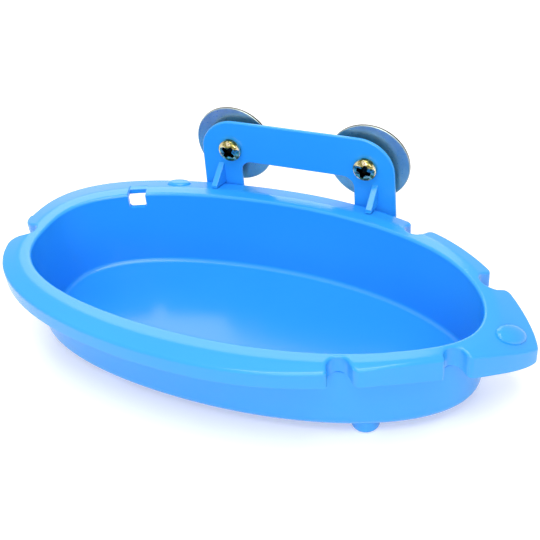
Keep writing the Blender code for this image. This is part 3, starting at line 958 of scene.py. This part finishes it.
def makeScrew(label):
    c = clampSettings
    radius, side, edge = c["headDiameter"] / 2, c["headSide"], c["headEdge"]
    crown = c["headHeight"] - side
    core = c["shank"] - c["coreInset"]
    profile = [(0.0, -c["headHeight"])]
    for turn in np.radians(np.linspace(0, 90, c["crownSteps"]))[1:]:
        profile.append((radius * math.sin(turn), -side - crown * math.cos(turn)))
    profile += [(radius, -edge), (radius - edge, 0.0), (core, 0.0)]
    profile += [(core, c["coreLength"]), (0.0, c["coreLength"])]
    screw = addObject(f"{label}_screw_turned", turnedMesh("screw", profile, c["screwSegments"]))
    combine(screw, [(recessTool(c["recessTurns"][label]), "DIFFERENCE")])
    combine(screw, [(addObject("thread", threadMesh()), "UNION")])
    return finishOnScrew(screw, label, c["seat"], c["smoothAngles"]["screw"])


def makeDisc(label):
    c = clampSettings
    radius, thick, soft = c["discDiameter"] / 2, c["discThickness"], c["discEdge"]
    bore, edge = c["discBore"] / 2, c["discBoreEdge"]
    face = [bore + edge] + [radius * share for share in c["discRings"]]
    profile = [(r, 0.0) for r in face]
    profile += [(radius - soft + x, soft + y) for x, y in arc(soft, -90, 0, c["discSteps"])]
    profile += [(radius - soft + x, thick - soft + y) for x, y in arc(soft, 0, 90, c["discSteps"])]
    profile += [(r, thick) for r in face[::-1]]
    profile += [(bore, thick - edge), (bore, edge), profile[0]]
    disc = addObject(f"{label}_clamp_disc_turned", turnedMesh("disc", profile, c["discSegments"]))
    return finishOnScrew(disc, label, c["discFront"], c["smoothAngles"]["disc"])


def makeNut(label):
    # six flats whose corners are cut back by the usual chamfer on both faces
    c = clampSettings
    flat, thick, bore, edge = c["nutFlats"] / 2, c["nutThickness"], c["nutBore"] / 2, c["nutBoreEdge"]
    face = flat * c["nutFace"]
    angles = np.linspace(0, 2 * math.pi, c["nutSegments"], endpoint=False)
    hexagon = flat / np.cos(np.mod(angles, math.pi / 3) - math.pi / 6)
    cut = np.maximum(hexagon - face, 0.0) * math.tan(math.radians(c["nutChamfer"]))
    profile = [
        (bore + edge, 0.0), (face, 0.0), (hexagon, cut), (hexagon, thick - cut), (face, thick),
        (bore + edge, thick), (bore, thick - edge), (bore, edge), (bore + edge, 0.0),
    ]
    nut = addObject(f"{label}_nut_turned", turnedMesh("nut", profile, c["nutSegments"]))
    return finishOnScrew(nut, label, c["nutFront"], c["smoothAngles"]["nut"])


# materials
def addNode(tree, kind, values=()):
    node = tree.nodes.new("ShaderNode" + kind)
    for label, value in dict(values).items():
        node.inputs[label].default_value = value
    return node


def newGroup(name, inputs, outputs):
    group = bpy.data.node_groups.new(name, "ShaderNodeTree")
    for direction, labels in (("INPUT", inputs), ("OUTPUT", outputs)):
        for label in labels:
            group.interface.new_socket(name=label, in_out=direction, socket_type="NodeSocketFloat")
    return group, group.nodes.new("NodeGroupInput"), group.nodes.new("NodeGroupOutput")


def noiseNode(tree, scale, detail, roughness):
    # noise over the piece's own coordinates; scale is an output of the group's entry
    coords = addNode(tree, "TexCoord")
    node = addNode(tree, "TexNoise", {"Detail": detail, "Roughness": roughness})
    tree.links.new(coords.outputs["Object"], node.inputs["Vector"])
    tree.links.new(scale, node.inputs["Scale"])
    return node


def rangeNode(tree, fromLow, fromHigh, toLow, toHigh):
    values = {"From Min": fromLow, "From Max": fromHigh, "To Min": toLow, "To Max": toHigh}
    return addNode(tree, "MapRange", values)


def mouldedSkinAndEdgeHighlightGroup(edgeHighlightRange):
    # orange peel and slow flow marks of moulded plastic, and a mask for a painted highlight that makes thin
    # convex edges paler
    group, entry, leave = newGroup("mouldedSkinAndEdgeHighlight", ("Peel Scale", "Flow Scale"), ("Height", "Flow", "Edge Highlight"))
    links = group.links
    peel = noiseNode(group, entry.outputs["Peel Scale"], detail=2.0, roughness=0.5)
    flow = noiseNode(group, entry.outputs["Flow Scale"], detail=1.0, roughness=0.4)
    shape = addNode(group, "NewGeometry")
    edge = rangeNode(group, *edgeHighlightRange, 0.0, 1.0)
    links.new(shape.outputs["Pointiness"], edge.inputs["Value"])
    links.new(peel.outputs["Fac"], leave.inputs["Height"])
    links.new(flow.outputs["Fac"], leave.inputs["Flow"])
    links.new(edge.outputs["Result"], leave.inputs["Edge Highlight"])
    return group


def platedSkinGroup():
    # fine grain and slow patches of a plated metal
    group, entry, leave = newGroup("platedSkin", ("Patch Scale", "Grain Scale"), ("Patch", "Grain"))
    patch = noiseNode(group, entry.outputs["Patch Scale"], detail=3.0, roughness=0.6)
    grain = noiseNode(group, entry.outputs["Grain Scale"], detail=2.0, roughness=0.6)
    group.links.new(patch.outputs["Fac"], leave.inputs["Patch"])
    group.links.new(grain.outputs["Fac"], leave.inputs["Grain"])
    return group


def newMaterial(name):
    material = bpy.data.materials.new(name)
    material.use_nodes = True
    tree = material.node_tree
    return material, tree, tree.nodes["Principled BSDF"]


def rampNode(tree, stops):
    node = addNode(tree, "ValToRGB")
    ramp = node.color_ramp
    while len(ramp.elements) < len(stops):
        ramp.elements.new(1.0)
    for element, (place, colour) in zip(ramp.elements, stops):
        element.position = place
        element.color = (*colour, 1.0)
    return node


def mixIn(tree, tint, mask, colour, shader):
    # a second base colour where the mask is 1
    mix = addNode(tree, "Mix")
    mix.data_type = "RGBA"
    mix.inputs["B"].default_value = (*colour, 1.0)
    tree.links.new(tint.outputs["Color"], mix.inputs["A"])
    tree.links.new(mask, mix.inputs["Factor"])
    tree.links.new(mix.outputs["Result"], shader.inputs["Base Color"])


def skinned(name, group, s, tintBy, roughBy, bumpBy):
    # a material whose colour, roughness and bump follow outputs of its skin's group
    material, tree, shader = newMaterial(name)
    skin = addNode(tree, "Group")
    skin.node_tree = group
    for label, value in s["scales"].items():
        skin.inputs[label].default_value = value
    tint = rampNode(tree, s["stops"])
    tree.links.new(skin.outputs[tintBy], tint.inputs["Fac"])
    tree.links.new(tint.outputs["Color"], shader.inputs["Base Color"])
    rough = rangeNode(tree, *s["noise"], *s["roughness"])
    tree.links.new(skin.outputs[roughBy], rough.inputs["Value"])
    tree.links.new(rough.outputs["Result"], shader.inputs["Roughness"])
    bump = addNode(tree, "Bump", {"Strength": s["bumpStrength"], "Distance": s["bumpDistance"]})
    tree.links.new(skin.outputs[bumpBy], bump.inputs["Height"])
    tree.links.new(bump.outputs["Normal"], shader.inputs["Normal"])
    return material, tree, shader, skin, tint


plasticSettings = {
    "scales": {"Peel Scale": 900.0, "Flow Scale": 28.0},
    "stops": [(0.1, (0.024, 0.340, 0.890)), (0.9, (0.030, 0.360, 0.900))],
    # painted highlight: the paler blue given to thin convex edges, over the pointiness range below
    "edge": (0.070, 0.450, 0.930),
    "edgeHighlightRange": (0.55, 0.68),  # pointiness
    "noise": (0.1, 0.9),
    "roughness": (0.17, 0.22),
    "bumpStrength": 0.05,
    "bumpDistance": 0.0002,
    "ior": 1.5,
}


def bluePlastic(name, group, s, paintedEdgeHighlight):
    material, tree, shader, skin, tint = skinned(name, group, s, "Flow", "Flow", "Height")
    # painted highlight: thin convex edges get the paler blue
    if paintedEdgeHighlight:
        mixIn(tree, tint, skin.outputs["Edge Highlight"], s["edge"], shader)
    shader.inputs["IOR"].default_value = s["ior"]
    return material


platingSettings = {
    "noise": (0.3, 0.7),
    "bumpDistance": 0.00005,
}
metalSettings = {
    "disc": {
        "stops": [(0.25, (0.45, 0.53, 0.48)), (0.75, (0.60, 0.68, 0.61))],
        "scales": {"Patch Scale": 160.0, "Grain Scale": 1500.0},
        "roughness": (0.26, 0.40),
        "bumpStrength": 0.05,
        # painted shade on the disc's outermost rim
        "rimShade": (0.05, 0.045, 0.04),
        "rimShadeRange": (0.993, 0.998, 0.0, 1.0),
    },
    "nut": {
        "stops": [(0.25, (0.50, 0.53, 0.55)), (0.75, (0.64, 0.66, 0.67))],
        "scales": {"Patch Scale": 260.0, "Grain Scale": 1500.0},
        "roughness": (0.20, 0.34),
        "bumpStrength": 0.06,
    },
    "screw": {
        # the gold, olive and pink tones are the plating's own; the near-black ends of the ramp are painted
        # reflection of dark surroundings
        "stops": [
            (0.30, (0.02, 0.05, 0.02)),
            (0.44, (0.30, 0.25, 0.07)),
            (0.53, (0.96, 0.88, 0.58)),
            (0.62, (0.50, 0.28, 0.20)),
            (0.72, (0.04, 0.04, 0.01)),
        ],
        "scales": {"Patch Scale": 300.0, "Grain Scale": 1500.0},
        "roughness": (0.08, 0.18),
        "bumpStrength": 0.03,
        # painted shade in the cross recess
        "recessShade": (0.012, 0.012, 0.008),
        "recessShadeRange": (0.84, 0.95, 1.0, 0.0),
    },
}


def lengthMask(tree, location, scale, limits):
    # how far a place is from the middle of the piece's own frame, once moved and scaled, as a mask
    coords = addNode(tree, "TexCoord")
    scaled = addNode(tree, "Mapping", {"Location": location, "Scale": scale})
    length = addNode(tree, "VectorMath")
    length.operation = "LENGTH"
    mask = rangeNode(tree, *limits)
    tree.links.new(coords.outputs["Object"], scaled.inputs["Vector"])
    tree.links.new(scaled.outputs["Vector"], length.inputs[0])
    tree.links.new(length.outputs["Value"], mask.inputs["Value"])
    return mask.outputs["Result"]


def paintRecessShade(tree, tint, shader, s):
    # painted shade: what lies under the crown of the head, the cross recess, is coloured near black
    c = clampSettings
    radius, crown = c["headDiameter"] / 2, c["headHeight"] - c["headSide"]
    scale = (1 / radius, 1 / radius, 1 / crown)
    mask = lengthMask(tree, (0.0, 0.0, c["headSide"] / crown), scale, s["recessShadeRange"])
    mixIn(tree, tint, mask, s["recessShade"], shader)


def paintRimShade(tree, tint, shader, s):
    # painted shade: the outermost rim of the disc is coloured near black, darker than its faces
    radius = clampSettings["discDiameter"] / 2
    mask = lengthMask(tree, (0.0, 0.0, 0.0), (1 / radius, 1 / radius, 0.0), s["rimShadeRange"])
    mixIn(tree, tint, mask, s["rimShade"], shader)


def platedMetal(name, group, s):
    values = {**platingSettings, **s}
    material, tree, shader, _, tint = skinned(name, group, values, "Patch", "Grain", "Grain")
    # painted shade in the screw's cross recess
    if "recessShade" in s:
        paintRecessShade(tree, tint, shader, s)
    # painted shade on the disc's outermost rim
    if "rimShade" in s:
        paintRimShade(tree, tint, shader, s)
    shader.inputs["Metallic"].default_value = 1.0
    return material


mouldedSkinAndEdgeHighlight = mouldedSkinAndEdgeHighlightGroup(plasticSettings["edgeHighlightRange"])
platedSkin = platedSkinGroup()
# only the tub gets the painted edge highlight
tubBlue = bluePlastic("tubBluePlastic", mouldedSkinAndEdgeHighlight, plasticSettings, True)
bracketBlue = bluePlastic("bracketBluePlastic", mouldedSkinAndEdgeHighlight, plasticSettings, False)
discZinc = platedMetal("discZinc", platedSkin, metalSettings["disc"])
nutZinc = platedMetal("nutZinc", platedSkin, metalSettings["nut"])
screwGold = platedMetal("screwYellowZinc", platedSkin, metalSettings["screw"])
print("materials made")


def dress(item, material, body, node):
    item.data.materials.clear()
    item.data.materials.append(material)
    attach(item, body)
    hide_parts(node)


tub = makeTub()
dress(tub, tubBlue, "bath", "bath_tub")
print("tub made:", len(tub.data.polygons), "faces")
bracket = makeBracket()
dress(bracket, bracketBlue, "bath", "hanger_bracket")
print("bracket made:", len(bracket.data.polygons), "faces")
for label in ("left", "right"):
    dress(makeScrew(label), screwGold, f"{label}_screw_body", f"{label}_screw")
    dress(makeDisc(label), discZinc, f"{label}_disc_body", f"{label}_clamp_disc")
    dress(makeNut(label), nutZinc, f"{label}_nut_body", f"{label}_nut")
print("clamps made")


# floor and light
studioSettings = {
    "floorSize": 2.0,
    "floorColour": (0.86, 0.86, 0.86),
    "floorRoughness": 0.7,
    "floorGloss": 0.2,
    "floorLift": 0.28,
    "worldFill": 0.52,
    "bounces": 8,
    "aim": (0.0, 0.0, 0.03),
    "lamps": [
        {"name": "backSoftbox", "place": (-0.40, 0.95, 0.80), "size": 1.0, "power": 6.5},
        {"name": "overhead", "place": (0.10, -0.32, 1.20), "size": 0.8, "power": 8.8},
        {"name": "front", "place": (0.30, -1.05, 0.60), "size": 0.7, "power": 5.2},
    ],
}


def rayLevel(tree, other, seen):
    # one level for rays that see the white background, of camera, gloss and glass, and one for the rest
    rays = addNode(tree, "LightPath")
    mask = rays.outputs["Is Camera Ray"]
    for label in ("Is Glossy Ray", "Is Transmission Ray"):
        larger = addNode(tree, "Math")
        larger.operation = "MAXIMUM"
        tree.links.new(mask, larger.inputs[0])
        tree.links.new(rays.outputs[label], larger.inputs[1])
        mask = larger.outputs[0]
    level = rangeNode(tree, 0.0, 1.0, other, seen)
    tree.links.new(mask, level.inputs["Value"])
    return level.outputs["Result"]


def makeFloor(s):
    mesh = bpy.data.meshes.new("paleFloor")
    half = s["floorSize"] / 2
    corners = [(-half, -half, 0), (half, -half, 0), (half, half, 0), (-half, half, 0)]
    mesh.from_pydata(corners, [], [(0, 1, 2, 3)])
    floor = addObject("paleFloor", mesh)
    material, tree, shader = newMaterial("paleFloor")
    shader.inputs["Base Color"].default_value = (*s["floorColour"], 1.0)
    shader.inputs["Roughness"].default_value = s["floorRoughness"]
    shader.inputs["Specular IOR Level"].default_value = s["floorGloss"]
    glow = addNode(tree, "Emission")
    tree.links.new(rayLevel(tree, 0.0, s["floorLift"]), glow.inputs["Strength"])
    both = addNode(tree, "AddShader")
    tree.links.new(shader.outputs["BSDF"], both.inputs[0])
    tree.links.new(glow.outputs["Emission"], both.inputs[1])
    tree.links.new(both.outputs["Shader"], tree.nodes["Material Output"].inputs["Surface"])
    mesh.materials.append(material)


def makeLight(s):
    world = bpy.data.worlds.new("studioWorld")
    scene.world = world
    world.use_nodes = True
    tree = world.node_tree
    background = tree.nodes["Background"]
    background.inputs["Color"].default_value = (1.0, 1.0, 1.0, 1.0)
    tree.links.new(rayLevel(tree, s["worldFill"], 1.0), background.inputs["Strength"])
    for lamp in s["lamps"]:
        data = bpy.data.lights.new(lamp["name"], "AREA")
        data.energy = lamp["power"]
        data.size = lamp["size"]
        item = bpy.data.objects.new(lamp["name"], data)
        item.location = lamp["place"]
        aim = Vector(s["aim"]) - item.location
        item.rotation_euler = aim.to_track_quat("-Z", "Y").to_euler()
        scene.collection.objects.link(item)


makeFloor(studioSettings)
makeLight(studioSettings)
scene.view_settings.view_transform = "Standard"
scene.cycles.diffuse_bounces = studioSettings["bounces"]
print("floor and light made")
